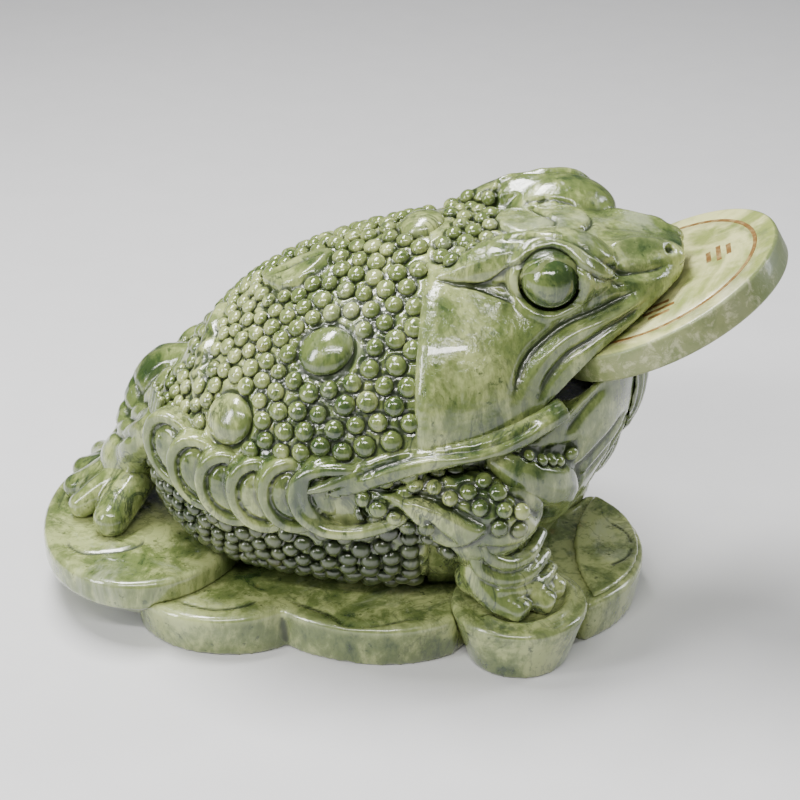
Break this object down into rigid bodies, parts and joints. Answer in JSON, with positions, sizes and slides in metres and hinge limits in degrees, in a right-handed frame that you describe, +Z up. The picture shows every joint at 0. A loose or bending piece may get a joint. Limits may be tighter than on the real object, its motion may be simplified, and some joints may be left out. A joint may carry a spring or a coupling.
{
  "type": "jade figurine",
  "caption": "Carved green serpentine money toad on a cloud plinth, holding a loose stone coin that slides out of its open mouth.",
  "frame": {"origin": "under the middle of the whole object's box, on the plane that the plinth stands on", "axes": "+X towards the toad's snout and the coin, +Y to the toad's left, +Z up"},
  "size_m": [0.298, 0.1522, 0.1735],
  "materials": {
    "jade": "polished",
    "coin_jade": "polished",
    "gilt": "worn gilt paint"
  },
  "bodies": {
    "carving": {"plinth_slab": "jade", "plinth_rear_scroll": "jade", "plinth_front_scroll": "jade", "plinth_paw_scroll_right": "jade", "plinth_paw_scroll_left": "jade", "torso": "jade", "head": "jade", "chest": "jade", "eye_right": "jade", "eye_left": "jade", "foreleg_right": "jade", "foreleg_left": "jade", "forepaw_right": "jade", "forepaw_left": "jade", "hind_leg": "jade", "hind_foot": "jade", "coin_string_right": "jade", "coin_string_left": "jade", "string_band_right": "jade", "string_band_left": "jade", "back_bosses": "jade", "chest_petals": "jade"},
    "loose_coin": {"coin": "coin_jade", "coin_gilding": "gilt"}
  },
  "joints": [
    {"name": "coin_pull", "type": "slide", "parent": "carving", "child": "loose_coin", "axis": [0.8746, 0, 0.4848], "range_m": [0, 0.09]}
  ]
}
